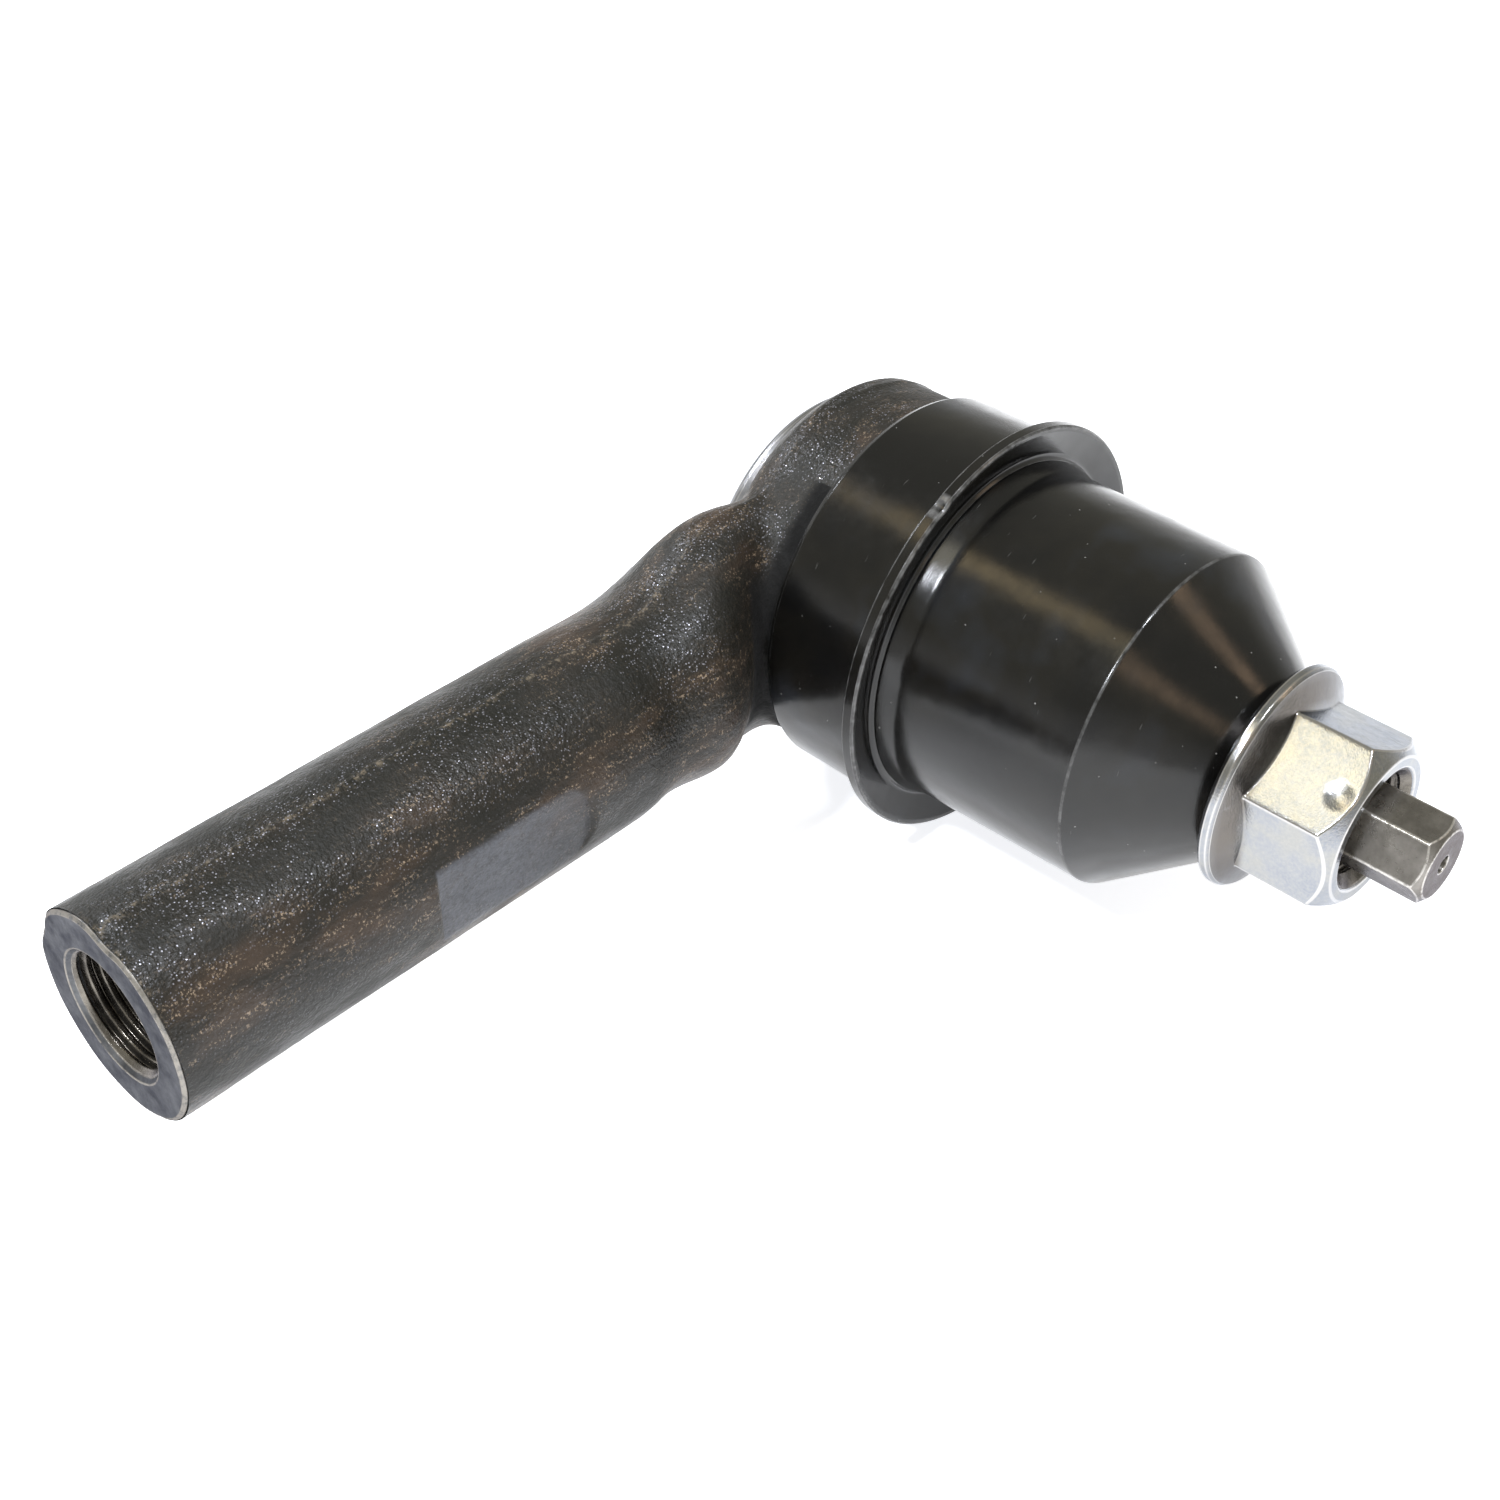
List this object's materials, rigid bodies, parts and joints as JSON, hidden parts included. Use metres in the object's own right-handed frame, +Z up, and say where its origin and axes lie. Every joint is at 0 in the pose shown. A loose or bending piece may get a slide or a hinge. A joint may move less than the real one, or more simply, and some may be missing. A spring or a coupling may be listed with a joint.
{
  "type": "tie rod end",
  "caption": "Outer steering tie rod end: forged socket shank and eye, sealed ball joint under a black moulded boot, and a stud with a locking flange nut.",
  "frame": {"origin": "on the axis of the threaded socket, at its first full thread turn, 1.2 mm inside the mouth face", "axes": "+X along the shank from the socket to the ball, -Y along the stud towards its tip, +Z up across both"},
  "size_m": [0.1503, 0.1037, 0.0582],
  "materials": {
    "forged_steel": "as-forged, phosphated and oiled, with a pebbly skin",
    "plated_cover": "bright plated pressed steel",
    "seal_rubber": "nitrile, matt",
    "spring_steel": "spring steel, oiled",
    "bearing_plastic": "acetal, satin",
    "collar_plastic": "injection moulded, gloss black",
    "boot_plastic": "thermoplastic elastomer, gloss black",
    "stud_steel": "hardened steel, dark satin",
    "plated_nut": "bright zinc plated"
  },
  "bodies": {
    "housing": {"forged_housing": "forged_steel", "end_cover": "plated_cover", "cover_seal_ring": "seal_rubber", "preload_spring": "spring_steel", "pressure_plate": "spring_steel", "upper_bearing_seat": "bearing_plastic", "lower_bearing_seat": "bearing_plastic", "boot_collar": "collar_plastic", "boot_clamp_ring": "spring_steel"},
    "boot": {"dust_boot": "boot_plastic"},
    "boot_top": {"boot_top_bush": "bearing_plastic", "boot_top_ring": "spring_steel"},
    "stud": {"ball_stud": "stud_steel", "flange_nut": "plated_nut"}
  },
  "joints": [
    {"name": "stud_lean_along_rod", "type": "hinge", "parent": "housing", "child": "boot", "pos_m": [0.12, -0.009, 0], "axis": [0, 0, 1], "range_deg": [-18, 18], "deforming": ["dust_boot"]},
    {"name": "stud_lean_across_rod", "type": "hinge", "parent": "boot", "child": "boot_top", "pos_m": [0.12, -0.009, 0], "axis": [1, 0, 0], "range_deg": [-18, 18], "deforming": ["dust_boot"]},
    {"name": "stud_spin", "type": "hinge", "parent": "boot_top", "child": "stud", "pos_m": [0.12, -0.009, 0], "axis": [0, 1, 0], "continuous": true}
  ]
}
